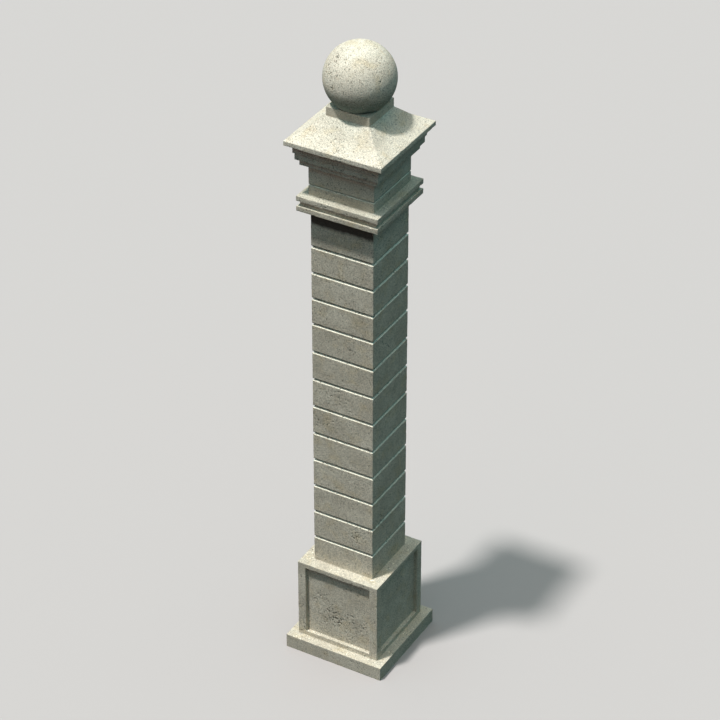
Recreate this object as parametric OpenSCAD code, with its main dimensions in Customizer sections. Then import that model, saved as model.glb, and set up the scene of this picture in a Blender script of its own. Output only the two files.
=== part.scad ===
// Banded stone pier with a ball finial, square in plan: a plinth slab, a panelled
// pedestal, a shaft of courses parted by V joints, a necking of two slabs, a frieze,
// a stepped bed moulding, a weathered cap, and a ball on a square block.
// The stones stand on one another face to face. Z is up, and the origin is at the
// middle of the underside.

/* [Plinth and pedestal] */
// Height of the plinth slab
plinth_h = 105; // [60:1:200]
// How far the plinth stands out from the pedestal
plinth_out = 62; // [10:1:150]
// Height of the pedestal
pedestal_h = 615; // [400:5:900]
// How far the pedestal stands out from the shaft
pedestal_out = 83; // [30:1:160]
// Width of the frame at each side of a pedestal panel
panel_stile = 60; // [30:1:110]
// Width of the frame above and below a pedestal panel
panel_rail = 36; // [20:1:100]
// Depth of a pedestal panel behind its frame
panel_depth = 25; // [5:1:45]

/* [Shaft] */
// Width of the shaft
shaft_w = 450; // [350:5:700]
// Height of the lowest course
foot_course_h = 191; // [120:1:300]
// Height of each main course
main_course_h = 213; // [120:1:300]
// Number of main courses
main_courses = 8; // [1:1:10]
// Height of each upper course
upper_course_h = 193; // [120:1:300]
// Number of upper courses
upper_courses = 3; // [1:1:6]
// Height of the top course, under the necking
top_course_h = 277; // [150:1:400]
// Height of a V joint between two courses
joint_h = 20; // [6:1:40]
// Depth of a V joint between two courses
joint_depth = 11; // [3:0.5:30]

/* [Necking and frieze] */
// How far the necking slabs stand out from the shaft
necking_out = 66; // [20:1:120]
// Height of each necking slab
necking_slab_h = 35; // [15:1:60]
// Height of the recess between the necking slabs
necking_gap_h = 36; // [10:1:60]
// Depth of the recess between the necking slabs
necking_gap_depth = 18; // [5:1:40]
// Height of the band above the necking
band_h = 70; // [40:1:150]
// How far the band and the frieze stand out from the shaft
frieze_out = 8; // [0:0.5:20]
// Height of the frieze
frieze_h = 148; // [80:1:300]
// Size of the bevels at the joint between the band and the frieze
frieze_bevel = 5; // [2:0.5:12]

/* [Bed moulding and cap] */
// Heights of the three bed moulding steps, from the lowest
bed_step_h = [42, 48, 60]; // [20:1:100]
// How far each bed moulding step stands out from what is below it
bed_step_out = [40, 22, 9]; // [4:1:60]
// How far the cap stands out from the bed moulding
cap_out = 40; // [10:1:90]
// Height of the upright edge of the cap
cap_edge_h = 32; // [15:1:80]
// Width of the cap's roof where its slope changes
roof_break_w = 490; // [420:1:540]
// Rise of the roof's lower slope
roof_lower_rise = 59; // [20:1:120]
// Rise of the roof's upper slope
roof_upper_rise = 81; // [20:1:160]

/* [Finial] */
// Width of the block under the ball
block_w = 306; // [220:1:400]
// Height of the block under the ball
block_h = 60; // [30:1:120]
// Diameter of the ball
ball_d = 460; // [380:1:600]
// Margin between the ball's flat bed and the edge of the block
ball_bed_margin = 3; // [2:1:30]

/* [Hidden] */
// Rim by which a cutting or crossing shape runs past what it meets
past = 1;
// Facets of the ball where it is drawn as a mesh
ball_facets = 128;
stone = "#d8d2c1";

// Courses are numbered from 1, at the foot of the shaft
course_count = 1 + main_courses + upper_courses + 1;

// Half widths, from the shaft outwards
shaft_half = shaft_w / 2;
pedestal_half = shaft_half + pedestal_out;
plinth_half = pedestal_half + plinth_out;
necking_half = shaft_half + necking_out;
frieze_half = shaft_half + frieze_out;
bed_half = [for (i = [0 : len(bed_step_out) - 1]) frieze_half + sum_to(bed_step_out, i)];
cap_half = bed_half[len(bed_half) - 1] + cap_out;
block_half = block_w / 2;

// The flat bed that the ball is cut to, and how high its middle is above the bed
ball_r = ball_d / 2;
ball_bed_r = block_half - ball_bed_margin;
ball_rise = sqrt(ball_r * ball_r - ball_bed_r * ball_bed_r);

// Underside of each stone
pedestal_z = plinth_h;
shaft_z = pedestal_z + pedestal_h;
necking_z = course_z(course_count + 1);
frieze_z = necking_z + 2 * necking_slab_h + necking_gap_h + band_h;
bed_z = frieze_z + frieze_h;
cap_z = bed_z + sum_to(bed_step_h, len(bed_step_h) - 1);
block_z = cap_z + cap_edge_h + roof_lower_rise + roof_upper_rise;
ball_z = block_z + block_h;

function sum_to(v, last) = last < 0 ? 0 : v[last] + sum_to(v, last - 1);
function course_h(n) =
    n == 1 ? foot_course_h
    : n <= 1 + main_courses ? main_course_h
    : n < course_count ? upper_course_h
    : top_course_h;
function course_z(n) = n == 1 ? shaft_z : course_z(n - 1) + course_h(n - 1);
function course_name(n) = str("course_", n < 10 ? "0" : "", n);

// One bar of a profile, which is a list of [half width, height] from the bottom up
module profile_bar(profile, length) {
    sides = concat(profile, [for (i = [len(profile) - 1 : -1 : 0]) [-profile[i][0], profile[i][1]]]);
    translate([0, length / 2, 0])
        rotate([90, 0, 0])
            linear_extrude(length)
                polygon(sides);
}

// A stone with the same profile on all four sides, mitred at its corners
module squared_stone(profile) {
    length = 2 * max([for (p = profile) p[0]]) + 2 * past;
    intersection() {
        profile_bar(profile, length);
        rotate([0, 0, 90])
            profile_bar(profile, length);
    }
}

module plinth() {
    color(stone)
        squared_stone([[plinth_half, 0], [plinth_half, plinth_h]]);
}

// The pedestal has one sunk panel on each side
module pedestal() {
    panel_w = 2 * (pedestal_half - panel_stile);
    panel_h = pedestal_h - 2 * panel_rail;
    color(stone)
        translate([0, 0, pedestal_z])
            difference() {
                squared_stone([[pedestal_half, 0], [pedestal_half, pedestal_h]]);
                for (turn = [0 : 90 : 270])
                    rotate([0, 0, turn])
                        translate([-panel_w / 2, pedestal_half - panel_depth, panel_rail])
                            cube([panel_w, panel_depth + past, panel_h]);
            }
}

// Each course is bevelled where it meets another course
module course(n) {
    h = course_h(n);
    bevel = joint_h / 2;
    inner = shaft_half - joint_depth;
    foot = n == 1 ? [[shaft_half, 0]] : [[inner, 0], [shaft_half, bevel]];
    head = n == course_count ? [[shaft_half, h]] : [[shaft_half, h - bevel], [inner, h]];
    color(stone)
        translate([0, 0, course_z(n)])
            squared_stone(concat(foot, head));
}

// Two slabs with a recess between them, and the band that stands on the upper slab
module necking() {
    gap_half = necking_half - necking_gap_depth;
    gap_z = necking_slab_h;
    upper_z = gap_z + necking_gap_h;
    foot_z = upper_z + necking_slab_h;
    top_z = foot_z + band_h;
    color(stone)
        translate([0, 0, necking_z])
            squared_stone([
                [necking_half, 0], [necking_half, gap_z],
                [gap_half, gap_z], [gap_half, upper_z],
                [necking_half, upper_z], [necking_half, foot_z],
                [frieze_half, foot_z], [frieze_half, top_z - frieze_bevel],
                [frieze_half - frieze_bevel, top_z]
            ]);
}

module frieze() {
    color(stone)
        translate([0, 0, frieze_z])
            squared_stone([
                [frieze_half - frieze_bevel, 0], [frieze_half, frieze_bevel],
                [frieze_half, frieze_h]
            ]);
}

// Three steps, each standing out over the one below
module bed_moulding() {
    steps = len(bed_step_h);
    color(stone)
        translate([0, 0, bed_z])
            squared_stone([
                for (i = [0 : steps - 1], z = [sum_to(bed_step_h, i - 1), sum_to(bed_step_h, i)])
                    [bed_half[i], z]
            ]);
}

// An upright edge under a roof of two slopes, flat on top where the block stands
module cap() {
    break_z = cap_edge_h + roof_lower_rise;
    color(stone)
        translate([0, 0, cap_z])
            squared_stone([
                [cap_half, 0], [cap_half, cap_edge_h],
                [roof_break_w / 2, break_z],
                [block_half, break_z + roof_upper_rise]
            ]);
}

module ball_block() {
    color(stone)
        translate([0, 0, block_z])
            squared_stone([[block_half, 0], [block_half, block_h]]);
}

// The ball is cut flat below, where it is bedded on the block
module ball() {
    color(stone)
        translate([0, 0, ball_z])
            difference() {
                translate([0, 0, ball_rise])
                    sphere(d = ball_d, $fn = ball_facets);
                translate([-ball_d, -ball_d, -ball_d])
                    cube([2 * ball_d, 2 * ball_d, ball_d]);
            }
}

plinth();
pedestal();
for (n = [1 : course_count])
    course(n);
necking();
frieze();
bed_moulding();
cap();
ball_block();
ball();
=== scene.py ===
"""The looks of a banded stone gate pier with a ball finial.

Every stone of the CAD frame is dressed again as weathered limestone: its cage is cut from the
CAD stone, and Geometry Nodes refine it, wear its arrises and sink its pits. All sizes are metres.
"""

import math

import bmesh
import bpy
from bpy.props import FloatProperty, FloatVectorProperty, IntProperty, PointerProperty
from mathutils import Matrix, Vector


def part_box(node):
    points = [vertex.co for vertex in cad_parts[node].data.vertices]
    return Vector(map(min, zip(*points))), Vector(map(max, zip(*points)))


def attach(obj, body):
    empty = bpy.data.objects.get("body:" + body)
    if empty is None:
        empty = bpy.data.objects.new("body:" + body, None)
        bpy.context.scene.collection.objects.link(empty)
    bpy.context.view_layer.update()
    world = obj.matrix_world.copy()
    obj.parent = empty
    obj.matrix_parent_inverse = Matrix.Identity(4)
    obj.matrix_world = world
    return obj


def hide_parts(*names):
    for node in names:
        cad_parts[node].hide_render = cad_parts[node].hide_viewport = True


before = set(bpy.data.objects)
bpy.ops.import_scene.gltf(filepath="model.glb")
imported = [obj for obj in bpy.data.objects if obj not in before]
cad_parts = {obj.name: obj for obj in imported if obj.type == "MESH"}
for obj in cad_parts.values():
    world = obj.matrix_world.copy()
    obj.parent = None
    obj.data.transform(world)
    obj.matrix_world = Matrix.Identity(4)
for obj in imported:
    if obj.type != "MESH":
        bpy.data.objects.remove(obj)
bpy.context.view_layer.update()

bl_info = {
    "name": "Banded stone pier",
    "version": (1, 0, 0),
    "blender": (4, 5, 0),
    "location": "3D View > Sidebar > Pier",
    "description": "Dresses the stones of a square gate pier with a ball finial",
    "category": "Object",
}

MM = 0.001

# The stones from the ground up
COURSES = sorted(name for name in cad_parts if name.startswith("course_"))
STACK = ["plinth", "pedestal", *COURSES, "necking", "frieze", "bed_moulding", "cap", "ball_block", "ball"]

# Slack for telling whether points are one point, and whether one lies on a plane or at a level
SAME_POINT = 0.02 * MM
ON_PLANE = 0.01 * MM
AT_LEVEL = 0.1 * MM
# An edge that turns less than this lies inside a flat face
FLAT_ANGLE = 0.01
# An arris that turns more than this wears and chips, and the bevels of the joints stay crisp
WORN_ARRIS = math.radians(60)
# An edge that turns more than this is shaded as an edge
SHARP_EDGE = math.radians(32)

# How many of a feature a metre holds, which is the scale of the noise that draws it
SWELLS = 9.0  # a dressed face's unevenness, about 110 mm across
WEAR_PATCHES = 17.0  # more and less worn stretches of an arris, about 60 mm long
CHIPS = 22.0  # about 45 mm
BED_PATCHES = 5.0  # patches of open bed, 200 mm
BED_HOLES = 80.0  # the ragged holes in them, 12 mm from one to the next
TONES = 6.5  # dull and clean patches, about 150 mm, with mottling in them
STAINS = 11.0  # about 90 mm
GRAINS = 190.0  # shelly grain, about 5 mm: a few times as coarse as a real one, so that it shows
SHADOW_TONGUES = 25.0  # the ragged edge of the painted shadow under the necking, 40 mm

# A pit is flat out to this share of its radius
PIT_FLOOR = 0.35
# Spacing, middling radius and share of places filled, for pits that are drawn but not cut.
# They are a little wider than real ones, so that they show.
SMALL_PITS = (13 * MM, 4.0 * MM, 0.45)
PINHOLES = (7 * MM, 2.7 * MM, 0.45)
# How far grime hides the stone in a hole
GRIME_COVER = 0.85

# Where the stone's open bed shows most: spots on the front panel, on one course and on the ball,
# each with its middle and its reach
WORN_SPOTS = (
    ((-0.05, -0.29, 0.30), 0.11), ((0.15, -0.29, 0.32), 0.12), ((-0.15, -0.29, 0.45), 0.10),
    ((0.10, -0.225, 1.02), 0.07), ((-0.07, -0.141, 4.518), 0.12), ((-0.14, -0.16, 4.43), 0.10),
)
# How much nearer to opening the bed is in the middle of a worn spot
SPOT_STRENGTH = 0.1

# The painted highlight goes on faces of about this slope, as the Z of its normal, give or take the slack:
# the slope of a joint's bevel that faces up
HIGHLIGHT_SLOPE = 0.74
HIGHLIGHT_SLACK = 0.12
# Painted shade on what faces down starts where the normal's Z is the first of these, is thickest at the
# second, and covers this much
UNDERSIDE_SLOPES = (0.05, -0.5)
UNDERSIDE_COVER = 0.85
# How far under the necking the painted shadow is thick, how far down it reaches, how ragged it is and how
# black
SHADOW_THICK = 90 * MM
SHADOW_REACH = 125 * MM
SHADOW_RAGGED = 15 * MM
SHADOW_COVER = 0.93
# A face whose normal's Y is below this is a front face
FRONT_FACING = -0.7


def linear(hex_colour):
    """An sRGB hex colour as the linear colour that Blender works in."""
    parts = [int(hex_colour[i : i + 2], 16) / 255 for i in (1, 3, 5)]
    return tuple(c / 12.92 if c <= 0.04045 else ((c + 0.055) / 1.055) ** 2.4 for c in parts)


def add(tree, kind, settings=None, **links):
    """Adds a node. settings are its properties; links are its inputs, by name or as _0, _1 by place."""
    node = tree.nodes.new(kind)
    for key, value in (settings or {}).items():
        setattr(node, key, value)
    for key, value in links.items():
        socket = node.inputs[int(key[1:])] if key[0] == "_" else node.inputs[key.replace("_", " ")]
        if isinstance(value, bpy.types.NodeSocket):
            tree.links.new(value, socket)
        else:
            socket.default_value = value
    return node


# ---------------------------------------------------------------- sizes and colours


class StoneSettings(bpy.types.PropertyGroup):
    """How the stones are cut and how they have worn."""

    cell: FloatProperty(
        name="Cell", description="Largest cell of a stone's cage", default=54 * MM,
        min=20 * MM, subtype="DISTANCE", unit="LENGTH",
    )
    panel_cell: FloatProperty(
        name="Panel cell", description="Largest cell of the pedestal's cage", default=45 * MM,
        min=20 * MM, subtype="DISTANCE", unit="LENGTH",
    )
    levels: IntProperty(
        name="Levels", description="How often each cell is halved", default=3, min=1, max=4,
    )
    tuck: FloatProperty(
        name="Tuck", description="How far a fine surface runs on under the stone above it",
        default=8 * MM, subtype="DISTANCE", unit="LENGTH",
    )
    wear: FloatProperty(
        name="Arris wear", description="Depth worn off the arrises", default=1.6 * MM,
        subtype="DISTANCE", unit="LENGTH",
    )
    wear_width: FloatProperty(
        name="Wear width", description="How far from an arris the wear reaches", default=6 * MM,
        subtype="DISTANCE", unit="LENGTH",
    )
    chip: FloatProperty(
        name="Chip depth", description="Depth of the chips along the arrises", default=5 * MM,
        subtype="DISTANCE", unit="LENGTH",
    )
    chip_width: FloatProperty(
        name="Chip width", description="How far from an arris a chip reaches", default=15 * MM,
        subtype="DISTANCE", unit="LENGTH",
    )
    pit_spacing: FloatProperty(
        name="Pit spacing", description="Mean distance between places for pits", default=24 * MM,
        subtype="DISTANCE", unit="LENGTH",
    )
    pit_radius: FloatProperty(
        name="Pit radius", description="Radius of a middling pit", default=5.5 * MM,
        subtype="DISTANCE", unit="LENGTH",
    )
    pit_depth: FloatProperty(
        name="Pit depth", description="Depth of a pit", default=3.0 * MM,
        subtype="DISTANCE", unit="LENGTH",
    )
    pit_share: FloatProperty(
        name="Pit share", description="Share of the places that hold a pit", default=0.22,
        min=0, max=1, subtype="FACTOR",
    )
    unevenness: FloatProperty(
        name="Unevenness", description="How far a dressed face strays from its plane",
        default=1.2 * MM, subtype="DISTANCE", unit="LENGTH",
    )
    ball_cells: IntProperty(
        name="Ball cells", description="Cells along each side of the ball's grid", default=84, min=16,
    )


class FinishSettings(bpy.types.PropertyGroup):
    """Colours of the stone, and of the painted highlight, shade and shadow on it."""

    pale: FloatVectorProperty(
        name="Pale stone", description="The clean face of the limestone", subtype="COLOR",
        size=3, min=0, max=1, default=linear("#d3cbba"),
    )
    bleached: FloatVectorProperty(
        name="Bleached stone", description="The limestone's face where rain runs over it",
        subtype="COLOR", size=3, min=0, max=1, default=linear("#e0d9c9"),
    )
    grey: FloatVectorProperty(
        name="Grey stone", description="The duller patches of the limestone", subtype="COLOR",
        size=3, min=0, max=1, default=linear("#bfb6a5"),
    )
    tan: FloatVectorProperty(
        name="Tan stain", description="Rust-tinged patches", subtype="COLOR",
        size=3, min=0, max=1, default=linear("#c8b692"),
    )
    grime: FloatVectorProperty(
        name="Grime", description="Dirt that sits in the pits", subtype="COLOR",
        size=3, min=0, max=1, default=linear("#4f4b41"),
    )
    # Painted highlight: the near-white put on the joints' up-facing bevels
    painted_joint_highlight: FloatVectorProperty(
        name="Joint highlight", description="Old pointing left on the bevels of the joints", subtype="COLOR",
        size=3, min=0, max=1, default=linear("#f8efdc"),
    )
    # Painted shade: the dark blue-green of what faces down
    painted_underside_shade: FloatVectorProperty(
        name="Underside shade", description="Growth on what faces down", subtype="COLOR",
        size=3, min=0, max=1, default=linear("#4a655f"),
    )
    # Painted shadow: the near-black band on the front under the necking
    necking_shadow: FloatVectorProperty(
        name="Necking shadow", description="The crust that gathers where no rain falls", subtype="COLOR",
        size=3, min=0, max=1, default=linear("#1b1a17"),
    )


class StageSettings(bpy.types.PropertyGroup):
    """The floor, the light and the camera."""

    camera_turn: FloatProperty(
        name="Camera turn", description="Camera's turn round the pier from the front",
        default=math.radians(29.944), subtype="ANGLE", unit="ROTATION",
    )
    camera_rise: FloatProperty(
        name="Camera rise", description="Camera's angle above level",
        default=math.radians(34.082), subtype="ANGLE", unit="ROTATION",
    )
    camera_distance: FloatProperty(
        name="Camera distance", description="From the camera to the point it looks at",
        default=18.138, subtype="DISTANCE", unit="LENGTH",
    )
    look_height: FloatProperty(
        name="Look height", description="Height of the point that the camera looks at",
        default=2.2817, subtype="DISTANCE", unit="LENGTH",
    )
    lens: FloatProperty(
        name="Lens", description="Focal length in millimetres", default=140.31, unit="CAMERA",
    )
    key_turn: FloatProperty(
        name="Key turn", description="The key light's turn round the pier from the front",
        default=math.radians(-32), subtype="ANGLE", unit="ROTATION",
    )
    key_rise: FloatProperty(
        name="Key rise", description="The key light's angle above level",
        default=math.radians(72), subtype="ANGLE", unit="ROTATION",
    )
    key_strength: FloatProperty(
        name="Key strength", description="The key light's irradiance", default=3.38,
    )
    key_softness: FloatProperty(
        name="Key softness", description="The key light's angular size",
        default=math.radians(4.5), subtype="ANGLE", unit="ROTATION",
    )
    key_colour: FloatVectorProperty(
        name="Key colour", description="Colour of the key light", subtype="COLOR",
        size=3, min=0, max=1, default=(0.987, 1.0, 0.978),
    )
    fill_turn: FloatProperty(
        name="Fill turn", description="The fill light's turn round the pier from the front",
        default=math.radians(-10), subtype="ANGLE", unit="ROTATION",
    )
    fill_rise: FloatProperty(
        name="Fill rise", description="The fill light's angle above level",
        default=math.radians(25), subtype="ANGLE", unit="ROTATION",
    )
    fill_strength: FloatProperty(
        name="Fill strength", description="The fill light's irradiance", default=0.2,
    )
    fill_softness: FloatProperty(
        name="Fill softness", description="The fill light's angular size",
        default=math.radians(40), subtype="ANGLE", unit="ROTATION",
    )
    fill_colour: FloatVectorProperty(
        name="Fill colour", description="Colour of the fill light", subtype="COLOR",
        size=3, min=0, max=1, default=(1.0, 0.55, 0.5),
    )
    wall_light: FloatVectorProperty(
        name="Light from the walls", description="Soft light from below 25 degrees", subtype="COLOR",
        size=3, min=0, default=(0.0, 0.0, 0.0),
    )
    cove_light: FloatVectorProperty(
        name="Light from the cove", description="Soft light from round about, at 53 degrees",
        subtype="COLOR", size=3, min=0, default=(0.36, 0.89, 1.0),
    )
    ceiling_light: FloatVectorProperty(
        name="Light overhead", description="Soft light from the studio's ceiling", subtype="COLOR",
        size=3, min=0, default=(1.75, 1.07, 0.82),
    )
    floor_colour: FloatVectorProperty(
        name="Floor colour", description="Colour of the floor", subtype="COLOR",
        size=3, min=0, max=1, default=linear("#b3adac"),
    )
    air_colour: FloatVectorProperty(
        name="Backdrop colour", description="What is seen past the floor, as bright as the lit floor",
        subtype="COLOR", size=3, min=0, max=1, default=linear("#d8d8d5"),
    )
    floor_bounce: FloatVectorProperty(
        name="Floor bounce", description="Colour that the floor gives back to the pier",
        subtype="COLOR", size=3, min=0, max=1, default=linear("#3c3f3f"),
    )
    floor_size: FloatProperty(
        name="Floor size", description="Side of the floor", default=120.0,
        subtype="DISTANCE", unit="LENGTH",
    )


# ---------------------------------------------------------------- geometry nodes

WEATHER_INPUTS = (
    ("Arris wear", "wear"), ("Wear width", "wear_width"), ("Chip depth", "chip"),
    ("Chip width", "chip_width"), ("Pit spacing", "pit_spacing"), ("Pit radius", "pit_radius"),
    ("Pit depth", "pit_depth"), ("Pit share", "pit_share"), ("Unevenness", "unevenness"),
)
WEATHER_SOCKETS = [(label, "NodeSocketFloat") for label, _ in WEATHER_INPUTS]


def new_tree(name, inputs):
    """A geometry node tree with a mesh in and out and the named inputs, and its two ends."""
    tree = bpy.data.node_groups.new(name, "GeometryNodeTree")
    tree.interface.new_socket("Mesh", in_out="INPUT", socket_type="NodeSocketGeometry")
    for label, kind in inputs:
        tree.interface.new_socket(label, in_out="INPUT", socket_type=kind)
    tree.interface.new_socket("Mesh", in_out="OUTPUT", socket_type="NodeSocketGeometry")
    return tree, add(tree, "NodeGroupInput").outputs, add(tree, "NodeGroupOutput").inputs


def weathering_tree():
    """Wears arrises, knocks chips out of them, sinks pits and makes faces uneven. Moves points only."""
    tree, given, out = new_tree("Stone weathering", [("Arrises", "NodeSocketGeometry"), *WEATHER_SOCKETS])
    place = add(tree, "GeometryNodeInputPosition").outputs[0]

    arris = add(tree, "GeometryNodeProximity", {"target_element": "EDGES"}, _0=given["Arrises"])
    gap = arris.outputs["Distance"]

    # Wear fades out over its width, and comes and goes along the arris
    near = add(tree, "ShaderNodeMapRange", {"interpolation_type": "SMOOTHSTEP"},
               Value=gap, From_Max=given["Wear width"], To_Min=1.0, To_Max=0.0)
    patchy = add(tree, "ShaderNodeTexNoise", Vector=place, Scale=WEAR_PATCHES, Detail=3.0)
    share = add(tree, "ShaderNodeMapRange", Value=patchy.outputs[0],
                From_Min=0.3, From_Max=0.7, To_Min=0.25)
    worn = add(tree, "ShaderNodeMath", {"operation": "MULTIPLY"},
               _0=near.outputs[0], _1=share.outputs[0])
    worn = add(tree, "ShaderNodeMath", {"operation": "MULTIPLY"},
               _0=worn.outputs[0], _1=given["Arris wear"])

    # A chip is a rare high spot of its noise
    near = add(tree, "ShaderNodeMapRange", {"interpolation_type": "SMOOTHSTEP"},
               Value=gap, From_Max=given["Chip width"], To_Min=1.0, To_Max=0.0)
    spots = add(tree, "ShaderNodeTexNoise", Vector=place, Scale=CHIPS, Detail=2.0)
    spots = add(tree, "ShaderNodeMapRange", Value=spots.outputs[0], From_Min=0.66, From_Max=0.74)
    chip = add(tree, "ShaderNodeMath", {"operation": "MULTIPLY"},
               _0=near.outputs[0], _1=spots.outputs[0])
    chip = add(tree, "ShaderNodeMath", {"operation": "MULTIPLY"},
               _0=chip.outputs[0], _1=given["Chip depth"])

    pit = add_pits(tree, place, given["Pit spacing"], given["Pit radius"], given["Pit share"])
    pit = add(tree, "ShaderNodeMath", {"operation": "MAXIMUM"}, _0=pit, _1=add_open_bed(tree, place))
    pit = add(tree, "ShaderNodeMath", {"operation": "MULTIPLY"}, _0=pit.outputs[0], _1=given["Pit depth"])

    swell = add(tree, "ShaderNodeTexNoise", Vector=place, Scale=SWELLS, Detail=3.0)
    swell = add(tree, "ShaderNodeMath", {"operation": "MULTIPLY"},
                _0=swell.outputs[0], _1=given["Unevenness"])

    depth = swell.outputs[0]
    for part in (worn, chip, pit):
        depth = add(tree, "ShaderNodeMath", _0=depth, _1=part.outputs[0]).outputs[0]
    back = add(tree, "ShaderNodeMath", {"operation": "MULTIPLY"}, _0=depth, _1=-1.0)
    inwards = add(tree, "ShaderNodeVectorMath", {"operation": "SCALE"},
                  _0=add(tree, "GeometryNodeInputNormal").outputs[0], Scale=back.outputs[0])
    moved = add(tree, "GeometryNodeSetPosition", Geometry=given["Mesh"], Offset=inwards.outputs[0])
    tree.links.new(moved.outputs[0], out[0])
    return tree


def add_pits(tree, place, spacing, radius, share):
    """Adds nodes that give 1 on the floor of a round pit and 0 outside it."""
    scale = add(tree, "ShaderNodeMath", {"operation": "DIVIDE"}, _0=1.0, _1=spacing).outputs[0]
    cells = add(tree, "ShaderNodeTexVoronoi", Vector=place, Scale=scale)
    chance = add(tree, "ShaderNodeSeparateXYZ", _0=cells.outputs["Color"]).outputs
    held = add(tree, "ShaderNodeMath", {"operation": "LESS_THAN"}, _0=chance[0], _1=share)
    reach = add(tree, "ShaderNodeMath", {"operation": "MULTIPLY"}, _0=radius, _1=scale)
    size = add(tree, "ShaderNodeMapRange", Value=chance[1], To_Min=0.55, To_Max=1.3)
    reach = add(tree, "ShaderNodeMath", {"operation": "MULTIPLY"}, _0=reach.outputs[0], _1=size.outputs[0])
    floor = add(tree, "ShaderNodeMath", {"operation": "MULTIPLY"}, _0=reach.outputs[0], _1=PIT_FLOOR)
    bowl = add(tree, "ShaderNodeMapRange", {"interpolation_type": "SMOOTHSTEP"},
               Value=cells.outputs["Distance"], From_Min=floor.outputs[0], From_Max=reach.outputs[0],
               To_Min=1.0, To_Max=0.0)
    pit = add(tree, "ShaderNodeMath", {"operation": "MULTIPLY"}, _0=bowl.outputs[0], _1=held.outputs[0])
    return pit.outputs[0]


def add_open_bed(tree, place):
    """Adds nodes that give 1 in the ragged, linked holes of the stone's open bed and 0 on sound stone.

    The holes are about 6 mm wide. They gather in broad patches and in the worn spots."""
    patches = add(tree, "ShaderNodeTexNoise", Vector=place, Scale=BED_PATCHES, Detail=2.0)
    patches = add(tree, "ShaderNodeMapRange", Value=patches.outputs[0],
                  From_Min=0.45, From_Max=0.72, To_Min=0.0, To_Max=0.09).outputs[0]
    for spot, reach in WORN_SPOTS:
        gap = add(tree, "ShaderNodeVectorMath", {"operation": "DISTANCE"}, _0=place, _1=spot)
        near = add(tree, "ShaderNodeMapRange", {"interpolation_type": "SMOOTHSTEP"},
                   Value=gap.outputs["Value"], From_Max=reach, To_Min=SPOT_STRENGTH, To_Max=0.0)
        patches = add(tree, "ShaderNodeMath", _0=patches, _1=near.outputs[0]).outputs[0]
    ragged = add(tree, "ShaderNodeTexNoise", Vector=place, Scale=BED_HOLES, Detail=3.0,
                 Roughness=0.6)
    raised = add(tree, "ShaderNodeMath", _0=ragged.outputs[0], _1=patches)
    holes = add(tree, "ShaderNodeMapRange", {"interpolation_type": "SMOOTHSTEP"},
                Value=raised.outputs[0], From_Min=0.655, From_Max=0.72)
    return holes.outputs[0]


def end_tree(tree, mesh, material, out):
    """Ends a tree the same way each time: instances made real, then the material."""
    real = add(tree, "GeometryNodeRealizeInstances", Geometry=mesh)
    done = add(tree, "GeometryNodeSetMaterial", Geometry=real.outputs[0], Material=material)
    tree.links.new(done.outputs[0], out[0])


def squared_stone_tree(weathering):
    """Refines the cage of a squared stone and weathers it."""
    inputs = [("Levels", "NodeSocketInt"), *WEATHER_SOCKETS, ("Material", "NodeSocketMaterial")]
    tree, given, out = new_tree("Squared stone", inputs)
    turn = add(tree, "GeometryNodeInputMeshEdgeAngle").outputs["Signed Angle"]
    sharp = add(tree, "ShaderNodeMath", {"operation": "GREATER_THAN"}, _0=turn, _1=WORN_ARRIS)
    arrises = add(tree, "GeometryNodeSeparateGeometry", {"domain": "EDGE"},
                  Geometry=given["Mesh"], Selection=sharp.outputs[0])
    fine = add(tree, "GeometryNodeSubdivideMesh", Mesh=given["Mesh"], Level=given["Levels"])
    worn = add(tree, "GeometryNodeGroup", {"node_tree": weathering},
               Mesh=fine.outputs[0], Arrises=arrises.outputs[0])
    for label, _ in WEATHER_INPUTS:
        tree.links.new(given[label], worn.inputs[label])
    end_tree(tree, worn.outputs[0], given["Material"], out)
    return tree


def ball_tree(weathering):
    """Makes a ball of even cells, flat below where it is bedded, and weathers it."""
    inputs = [("Cells", "NodeSocketInt"), ("Radius", "NodeSocketFloat"), ("Centre", "NodeSocketVector"),
              ("Bed height", "NodeSocketFloat"), *WEATHER_SOCKETS, ("Material", "NodeSocketMaterial")]
    tree, given, out = new_tree("Ball finial", inputs)
    count = add(tree, "ShaderNodeMath", _0=given["Cells"], _1=1.0).outputs[0]
    cube = add(tree, "GeometryNodeMeshCube", Size=(2, 2, 2), Vertices_X=count, Vertices_Y=count,
               Vertices_Z=count)
    # The tangent spreads a cube's grid evenly over the ball
    place = add(tree, "GeometryNodeInputPosition").outputs[0]
    place = add(tree, "ShaderNodeVectorMath", {"operation": "SCALE"}, _0=place, Scale=math.pi / 4)
    place = add(tree, "ShaderNodeVectorMath", {"operation": "TANGENT"}, _0=place.outputs[0])
    place = add(tree, "ShaderNodeVectorMath", {"operation": "NORMALIZE"}, _0=place.outputs[0])
    place = add(tree, "ShaderNodeVectorMath", {"operation": "SCALE"}, _0=place.outputs[0],
                Scale=given["Radius"])
    place = add(tree, "ShaderNodeVectorMath", _0=place.outputs[0], _1=given["Centre"]).outputs[0]
    ball = add(tree, "GeometryNodeSetPosition", Geometry=cube.outputs["Mesh"], Position=place)
    worn = add(tree, "GeometryNodeGroup", {"node_tree": weathering}, Mesh=ball.outputs[0])
    for label, _ in WEATHER_INPUTS:
        tree.links.new(given[label], worn.inputs[label])
    # What would lie below the bed is pressed flat onto it, and nothing is held along X and Y
    place = add(tree, "GeometryNodeInputPosition").outputs[0]
    far = -9.0
    bed = add(tree, "ShaderNodeCombineXYZ", X=far, Y=far, Z=given["Bed height"])
    place = add(tree, "ShaderNodeVectorMath", {"operation": "MAXIMUM"}, _0=place, _1=bed.outputs[0])
    flat = add(tree, "GeometryNodeSetPosition", Geometry=worn.outputs[0], Position=place.outputs[0])
    end_tree(tree, flat.outputs[0], given["Material"], out)
    return tree


# ---------------------------------------------------------------- stones


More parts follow.
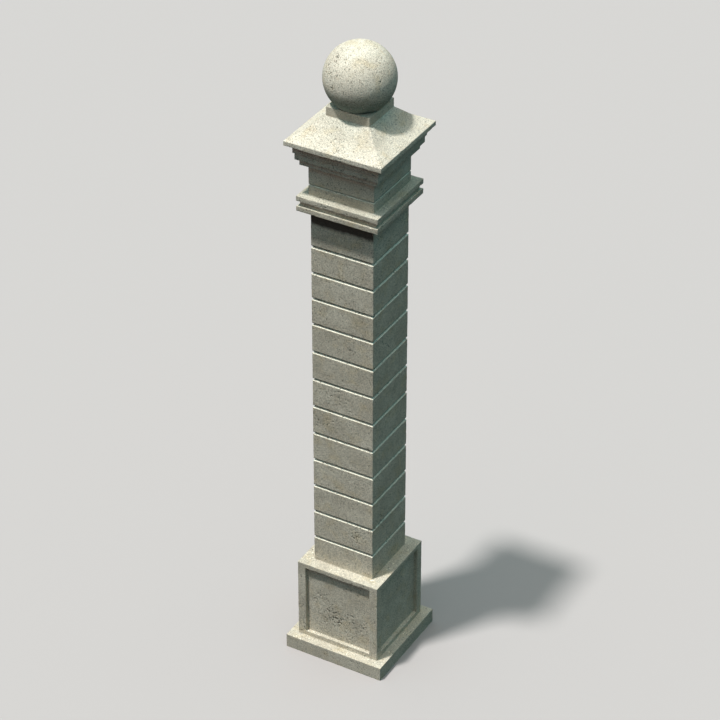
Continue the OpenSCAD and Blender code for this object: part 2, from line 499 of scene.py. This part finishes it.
def bed_sizes(name):
    """Half widths of what meets a stone from below and from above. The ground meets all of the plinth."""
    place = STACK.index(name)
    below = face_half(STACK[place - 1], True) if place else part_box(name)[1].x
    return below, face_half(STACK[place + 1], False)


def face_half(name, top):
    """Half the width of a stone's top or bottom face."""
    low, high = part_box(name)
    level = high.z if top else low.z
    return max(v.co.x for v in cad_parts[name].data.vertices if abs(v.co.z - level) < AT_LEVEL)


def stone_cage(name, cell, tuck):
    """A merged copy of a squared CAD stone in near-square cells, open over its hidden beds."""
    bm = bmesh.new()
    bm.from_mesh(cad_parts[name].data)
    bmesh.ops.remove_doubles(bm, verts=bm.verts, dist=SAME_POINT)
    low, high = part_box(name)
    holes = []
    cuts = [set(), set(), set()]
    for level, cover in zip((low.z, high.z), bed_sizes(name)):
        own = face_half(name, level == high.z)
        half = own if cover > own - tuck else cover - tuck
        holes.append((level, half))
        if half < own:
            cuts[0] |= {-half, half}
            cuts[1] |= {-half, half}
    for axis in range(3):
        cuts[axis] = sorted({round(c, 5) for c in cuts[axis]} | {round(v.co[axis], 5) for v in bm.verts})
    for axis, stops in enumerate(cuts):
        normal = [float(axis == i) for i in range(3)]
        planes = []
        for start, end in zip(stops, stops[1:]):
            count = math.ceil((end - start) / cell)
            planes += [start + (end - start) * i / count for i in range(count)]
        for place in planes[1:]:
            bmesh.ops.bisect_plane(bm, geom=bm.verts[:] + bm.edges[:] + bm.faces[:], dist=ON_PLANE,
                                   plane_co=[place * n for n in normal], plane_no=normal)
    slanted = [e for e in bm.edges if len(e.link_faces) == 2 and e.calc_face_angle() < FLAT_ANGLE
               and not runs_square(e)]
    bmesh.ops.dissolve_edges(bm, edges=slanted, use_verts=True)
    hidden = [f for f in bm.faces for level, half in holes
              if abs(f.normal.z) > 0.99 and abs(f.calc_center_median().z - level) < AT_LEVEL
              and max(abs(f.calc_center_median().x), abs(f.calc_center_median().y)) < half]
    bmesh.ops.delete(bm, geom=hidden, context="FACES")
    mesh = bpy.data.meshes.new(name + "_stone")
    bm.to_mesh(mesh)
    bm.free()
    return mesh


def runs_square(edge):
    """Whether an edge inside a flat face lies along a cut, and isn't a slanting edge of a triangle."""
    normal = edge.link_faces[0].normal
    run = edge.verts[1].co - edge.verts[0].co
    return any(abs(run[i]) < SAME_POINT and abs(normal[i]) < 0.999 for i in range(3))


def finished_piece(name, mesh, tree, values):
    """Runs a node tree on a mesh, keeps the result as a plain mesh, and fits it into the frame."""
    maker = bpy.data.objects.new(name + "_maker", mesh)
    bpy.context.scene.collection.objects.link(maker)
    modifier = maker.modifiers.new("Stone", "NODES")
    modifier.node_group = tree
    for item in tree.interface.items_tree:
        if item.in_out == "INPUT" and item.name in values:
            modifier[item.identifier] = values[item.name]
    result = maker.evaluated_get(bpy.context.evaluated_depsgraph_get())
    plain = bpy.data.meshes.new_from_object(result)
    bpy.data.objects.remove(maker)
    if not plain.polygons:
        raise RuntimeError(f"the node tree made no faces for {name}")
    bm = bmesh.new()
    bm.from_mesh(plain)
    rim = [e for e in bm.edges if e.is_boundary]
    if rim:
        bmesh.ops.holes_fill(bm, edges=rim, sides=0)
    bmesh.ops.recalc_face_normals(bm, faces=bm.faces)
    if any(not e.is_manifold for e in bm.edges):
        raise RuntimeError(f"{name} isn't closed")
    bm.to_mesh(plain)
    bm.free()
    plain.shade_smooth()
    plain.set_sharp_from_angle(angle=SHARP_EDGE)
    piece = bpy.data.objects.new(name + "_stone", plain)
    bpy.context.scene.collection.objects.link(piece)
    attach(piece, "root")
    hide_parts(name)


def tree_named(name, make, *args):
    """A node tree by name, made the first time it is asked for."""
    return bpy.data.node_groups.get(name) or make(*args)


def weather_values(settings, **changes):
    """The weathering inputs of a tree, from the settings, with some of them changed."""
    values = {label: getattr(settings, key) for label, key in WEATHER_INPUTS}
    values.update(changes)
    return values


def dress(name, context, cell=None, **changes):
    """Makes one weathered squared stone in place of its CAD solid."""
    stone = context.scene.pier_stone
    tree = tree_named("Squared stone", squared_stone_tree, tree_named("Stone weathering", weathering_tree))
    values = {"Levels": stone.levels, "Material": dressed_limestone(context)}
    values.update(weather_values(stone, **changes))
    finished_piece(name, stone_cage(name, cell or stone.cell, stone.tuck), tree, values)


# ---------------------------------------------------------------- finish


def dressed_limestone(context):
    """Dressed limestone: rubbed faces, matte and pale, with shelly grain, dull patches and dark pits.

    A painted highlight lies on the up-facing bevels of its joints, and a painted shadow on its front under
    the necking."""
    finish = context.scene.pier_finish
    return bpy.data.materials.get("dressed limestone") or limestone(
        "dressed limestone", context, finish.grey, finish.pale, contrast=0.34, fleck=0.85, painted_light_share=1.0)


def washed_limestone(context):
    """Rain-washed limestone, on the cap and the ball: bleached paler, with more grain and darker pits."""
    finish = context.scene.pier_finish
    return bpy.data.materials.get("rain-washed limestone") or limestone(
        "rain-washed limestone", context, finish.pale, finish.bleached,
        contrast=0.4, fleck=0.9, painted_light_share=0.0)


def limestone(name, context, dull, clean, contrast, fleck, painted_light_share):
    """Pale matte stone, which scatters light evenly and has no shine to speak of.

    contrast is how far the grain strays from its mean colour, fleck how dark the small pits are, and the
    last whether the painted joint highlight and the painted shadow under the necking lie on it."""
    finish, stone = context.scene.pier_finish, context.scene.pier_stone
    material = bpy.data.materials.new(name)
    material.use_nodes = True
    tree = material.node_tree
    shader = tree.nodes["Principled BSDF"]
    shader.inputs["Roughness"].default_value = 0.9
    shader.inputs["Specular IOR Level"].default_value = 0.25
    place = add(tree, "ShaderNodeTexCoord").outputs["Object"]

    # Dull and clean patches, with mottling in them
    broad = add(tree, "ShaderNodeTexNoise", Vector=place, Scale=TONES, Detail=5.0, Roughness=0.62)
    broad = add(tree, "ShaderNodeMapRange", Value=broad.outputs[0], From_Min=0.35, From_Max=0.66)
    colour = add(tree, "ShaderNodeMix", {"data_type": "RGBA"}, Factor=broad.outputs[0],
                 _6=(*dull, 1), _7=(*clean, 1))
    stain = add(tree, "ShaderNodeTexNoise", Vector=place, Scale=STAINS, Detail=4.0, Distortion=0.4)
    stain = add(tree, "ShaderNodeMapRange", Value=stain.outputs[0], From_Min=0.52, From_Max=0.78,
                To_Max=0.55)
    colour = add(tree, "ShaderNodeMix", {"data_type": "RGBA"}, Factor=stain.outputs[0],
                 _6=colour.outputs[2], _7=(*finish.tan, 1))

    # Painted highlight: faces at the slope of the joints' up-facing bevels are painted near white, so that
    # each joint shows as a bright lit line
    shape = add(tree, "ShaderNodeNewGeometry").outputs
    slope = add(tree, "ShaderNodeSeparateXYZ", _0=shape["True Normal"]).outputs
    bevel_highlight = add(tree, "ShaderNodeMath", {"operation": "COMPARE"},
                _0=slope["Z"], _1=HIGHLIGHT_SLOPE, _2=HIGHLIGHT_SLACK)
    bevel_highlight = add(tree, "ShaderNodeMath", {"operation": "MULTIPLY"}, _0=bevel_highlight.outputs[0], _1=painted_light_share)
    colour = add(tree, "ShaderNodeMix", {"data_type": "RGBA"}, Factor=bevel_highlight.outputs[0],
                 _6=colour.outputs[2], _7=(*finish.painted_joint_highlight, 1))

    # Painted shade: what faces down, such as the underside of the ball, is painted dark blue-green, the
    # more the further it faces down
    rounded = add(tree, "ShaderNodeSeparateXYZ", _0=shape["Normal"]).outputs
    facing_down_share = add(tree, "ShaderNodeMapRange", {"interpolation_type": "SMOOTHSTEP"}, Value=rounded["Z"],
                   From_Min=UNDERSIDE_SLOPES[0], From_Max=UNDERSIDE_SLOPES[1], To_Max=UNDERSIDE_COVER)
    colour = add(tree, "ShaderNodeMix", {"data_type": "RGBA"}, Factor=facing_down_share.outputs[0],
                 _6=colour.outputs[2], _7=(*finish.painted_underside_shade, 1))

    # Painted shadow: a near-black band on the front just under the necking, with a ragged lower edge
    necking_shadow = add_necking_shadow(tree, place, slope["Y"], painted_light_share)
    colour = add(tree, "ShaderNodeMix", {"data_type": "RGBA"}, Factor=necking_shadow,
                 _6=colour.outputs[2], _7=(*finish.necking_shadow, 1))

    grain = add(tree, "ShaderNodeTexNoise", Vector=place, Scale=GRAINS, Detail=2.0)
    light = add(tree, "ShaderNodeMapRange", Value=grain.outputs[0], From_Min=0.3, From_Max=0.7,
                To_Min=1 - contrast, To_Max=1 + contrast)
    colour = add(tree, "ShaderNodeVectorMath", {"operation": "SCALE"}, _0=colour.outputs[2],
                 Scale=light.outputs[0])

    # The holes that are cut in the mesh, and the small pits and pinholes between them
    deep = add_pits(tree, place, stone.pit_spacing, stone.pit_radius, stone.pit_share)
    deep = add(tree, "ShaderNodeMath", {"operation": "MAXIMUM"}, _0=deep, _1=add_open_bed(tree, place))
    small = add_pits(tree, place, *SMALL_PITS)
    pinholes = add_pits(tree, place, *PINHOLES)
    shallow = add(tree, "ShaderNodeMath", {"operation": "MAXIMUM"}, _0=small, _1=pinholes).outputs[0]
    dark = add(tree, "ShaderNodeMath", {"operation": "MULTIPLY"}, _0=shallow, _1=fleck)
    dark = add(tree, "ShaderNodeMath", {"operation": "MAXIMUM"}, _0=deep.outputs[0], _1=dark.outputs[0])
    dark = add(tree, "ShaderNodeMath", {"operation": "MULTIPLY"}, _0=dark.outputs[0], _1=GRIME_COVER)
    colour = add(tree, "ShaderNodeMix", {"data_type": "RGBA"}, Factor=dark.outputs[0],
                 _6=colour.outputs[0], _7=(*finish.grime, 1))
    tree.links.new(colour.outputs[2], shader.inputs["Base Color"])

    rise = add(tree, "ShaderNodeMath", {"operation": "SUBTRACT"}, _0=grain.outputs[0], _1=shallow)
    bump = add(tree, "ShaderNodeBump", Height=rise.outputs[0], Strength=0.5, Distance=1.2 * MM)
    tree.links.new(bump.outputs[0], shader.inputs["Normal"])
    return material


def add_necking_shadow(tree, place, facing, share):
    """Adds nodes that give the share of painted shadow on the front just under the necking, and 0
    elsewhere.
    """
    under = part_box("necking")[0].z
    height = add(tree, "ShaderNodeSeparateXYZ", _0=place).outputs["Z"]
    ragged = add(tree, "ShaderNodeTexNoise", Vector=place, Scale=SHADOW_TONGUES, Detail=3.0)
    ragged = add(tree, "ShaderNodeMapRange", Value=ragged.outputs[0],
                 To_Min=-SHADOW_RAGGED, To_Max=SHADOW_RAGGED)
    lifted = add(tree, "ShaderNodeMath", _0=height, _1=ragged.outputs[0])
    fade = add(tree, "ShaderNodeMapRange", {"interpolation_type": "SMOOTHSTEP"}, Value=lifted.outputs[0],
               From_Min=under - SHADOW_REACH, From_Max=under - SHADOW_THICK, To_Max=SHADOW_COVER)
    below = add(tree, "ShaderNodeMath", {"operation": "LESS_THAN"}, _0=height, _1=under)
    front = add(tree, "ShaderNodeMath", {"operation": "LESS_THAN"}, _0=facing, _1=FRONT_FACING)
    necking_shadow = fade.outputs[0]
    for part in (below.outputs[0], front.outputs[0], share):
        necking_shadow = add(tree, "ShaderNodeMath", {"operation": "MULTIPLY"}, _0=necking_shadow, _1=part).outputs[0]
    return necking_shadow


def seen_directly(tree):
    """Adds nodes that give 1 where the camera, a reflection or a refraction sees the surface."""
    path = add(tree, "ShaderNodeLightPath").outputs
    seen = add(tree, "ShaderNodeMath", {"operation": "MAXIMUM"}, _0=path["Is Camera Ray"],
               _1=path["Is Glossy Ray"])
    return add(tree, "ShaderNodeMath", {"operation": "MAXIMUM"}, _0=seen.outputs[0],
               _1=path["Is Transmission Ray"]).outputs[0]


# ---------------------------------------------------------------- operators


def from_round(turn, rise):
    """The way from the pier to a place at that turn from the front and that angle above level."""
    return Vector((math.sin(turn) * math.cos(rise), -math.cos(turn) * math.cos(rise), math.sin(rise)))


class PIER_OT_base(bpy.types.Operator):
    """Dresses the plinth slab and the panelled pedestal"""

    bl_idname = "pier.base"
    bl_label = "Plinth and pedestal"

    def execute(self, context):
        dress("plinth", context)
        dress("pedestal", context, cell=context.scene.pier_stone.panel_cell)
        return {"FINISHED"}


class PIER_OT_shaft(bpy.types.Operator):
    """Dresses the courses of the shaft"""

    bl_idname = "pier.shaft"
    bl_label = "Shaft courses"

    def execute(self, context):
        if not COURSES:
            raise RuntimeError("the frame has no courses")
        for name in COURSES:
            dress(name, context)
        return {"FINISHED"}


class PIER_OT_entablature(bpy.types.Operator):
    """Dresses the necking, the frieze, the bed moulding and the cap"""

    bl_idname = "pier.entablature"
    bl_label = "Necking, frieze and cap"

    def execute(self, context):
        for name in ("necking", "frieze", "bed_moulding"):
            dress(name, context)
        dress("cap", context, Material=washed_limestone(context))
        return {"FINISHED"}


class PIER_OT_finial(bpy.types.Operator):
    """Dresses the block and makes the ball that stands on it"""

    bl_idname = "pier.finial"
    bl_label = "Block and ball"

    def execute(self, context):
        stone = context.scene.pier_stone
        dress("ball_block", context)
        low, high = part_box("ball")
        radius = (high.x - low.x) / 2
        weathering = tree_named("Stone weathering", weathering_tree)
        # A ball has no arris, so nothing is worn or chipped off one
        values = weather_values(stone)
        values.update({
            "Arris wear": 0.0,
            "Chip depth": 0.0,
            "Cells": stone.ball_cells,
            "Radius": radius,
            "Centre": (0.0, 0.0, high.z - radius),
            "Bed height": low.z,
            "Material": washed_limestone(context),
        })
        empty = bpy.data.meshes.new("ball_stone")
        finished_piece("ball", empty, tree_named("Ball finial", ball_tree, weathering), values)
        return {"FINISHED"}


class PIER_OT_stage(bpy.types.Operator):
    """Lays the floor and sets the light and the camera"""

    bl_idname = "pier.stage"
    bl_label = "Stage"

    def execute(self, context):
        stage = context.scene.pier_stage
        self.floor(context, stage)
        self.light(context, stage)
        self.camera(context, stage)
        return {"FINISHED"}

    def floor(self, context, stage):
        half = stage.floor_size / 2
        mesh = bpy.data.meshes.new("floor")
        mesh.from_pydata([(-half, -half, 0), (half, -half, 0), (half, half, 0), (-half, half, 0)], [],
                         [(0, 1, 2, 3)])
        floor = bpy.data.objects.new("floor", mesh)
        context.scene.collection.objects.link(floor)
        material = bpy.data.materials.new("painted studio floor")
        material.use_nodes = True
        tree = material.node_tree
        colour = add(tree, "ShaderNodeMix", {"data_type": "RGBA"}, Factor=seen_directly(tree),
                     _6=(*stage.floor_bounce, 1), _7=(*stage.floor_colour, 1))
        shader = tree.nodes["Principled BSDF"]
        shader.inputs["Roughness"].default_value = 1.0
        shader.inputs["Specular IOR Level"].default_value = 0.0
        tree.links.new(colour.outputs[2], shader.inputs["Base Color"])
        mesh.materials.append(material)

    def light(self, context, stage):
        for name in ("key", "fill"):
            light = bpy.data.lights.new(name, "SUN")
            light.energy = getattr(stage, name + "_strength")
            light.angle = getattr(stage, name + "_softness")
            light.color = getattr(stage, name + "_colour")
            lamp = bpy.data.objects.new(name, light)
            way = from_round(getattr(stage, name + "_turn"), getattr(stage, name + "_rise"))
            lamp.rotation_euler = way.to_track_quat("Z", "Y").to_euler()
            context.scene.collection.objects.link(lamp)
        world = bpy.data.worlds.new("studio")
        context.scene.world = world
        world.use_nodes = True
        tree = world.node_tree
        # The soft light grows from the walls to the ceiling, by how high it comes from
        way = add(tree, "ShaderNodeTexCoord").outputs["Generated"]
        height = add(tree, "ShaderNodeSeparateXYZ", _0=way).outputs["Z"]
        fill = add(tree, "ShaderNodeValToRGB", Fac=height)
        stops = fill.color_ramp.elements
        stops.new(0.8)
        stops[0].position = 0.4
        for stop, colour in zip(stops, (stage.wall_light, stage.cove_light, stage.ceiling_light)):
            stop.color = (*colour, 1)
        colour = add(tree, "ShaderNodeMix", {"data_type": "RGBA"}, Factor=seen_directly(tree),
                     _6=fill.outputs[0], _7=(*stage.air_colour, 1))
        tree.links.new(colour.outputs[2], tree.nodes["Background"].inputs["Color"])

    def camera(self, context, stage):
        data = bpy.data.cameras.new("camera")
        data.lens = stage.lens
        data.clip_end = 4 * stage.camera_distance
        camera = bpy.data.objects.new("camera", data)
        back = from_round(stage.camera_turn, stage.camera_rise)
        camera.location = Vector((0, 0, stage.look_height)) + back * stage.camera_distance
        camera.rotation_euler = back.to_track_quat("Z", "Y").to_euler()
        context.scene.collection.objects.link(camera)
        context.scene.camera = camera
        context.scene.view_settings.view_transform = "Standard"


# ---------------------------------------------------------------- add-on

OPERATORS = (PIER_OT_base, PIER_OT_shaft, PIER_OT_entablature, PIER_OT_finial, PIER_OT_stage)
SETTINGS = {"pier_stone": StoneSettings, "pier_finish": FinishSettings, "pier_stage": StageSettings}


class PIER_PT_panel(bpy.types.Panel):
    """Lists the pier's sizes, colours and steps"""

    bl_idname = "PIER_PT_panel"
    bl_label = "Banded stone pier"
    bl_space_type = "VIEW_3D"
    bl_region_type = "UI"
    bl_category = "Pier"

    def draw(self, context):
        for operator in OPERATORS:
            self.layout.operator(operator.bl_idname)
        for name in SETTINGS:
            group = getattr(context.scene, name)
            box = self.layout.box()
            for key in group.bl_rna.properties.keys():
                if key not in ("rna_type", "name"):
                    box.prop(group, key)


def register():
    for cls in (*SETTINGS.values(), *OPERATORS, PIER_PT_panel):
        bpy.utils.register_class(cls)
    for name, cls in SETTINGS.items():
        setattr(bpy.types.Scene, name, PointerProperty(type=cls))


def unregister():
    for name in SETTINGS:
        delattr(bpy.types.Scene, name)
    for cls in reversed((*SETTINGS.values(), *OPERATORS, PIER_PT_panel)):
        bpy.utils.unregister_class(cls)


def main():
    register()
    bpy.ops.pier.stage()
    bpy.ops.pier.base()
    bpy.ops.pier.shaft()
    bpy.ops.pier.entablature()
    bpy.ops.pier.finial()


if __name__ == "__main__":
    main()
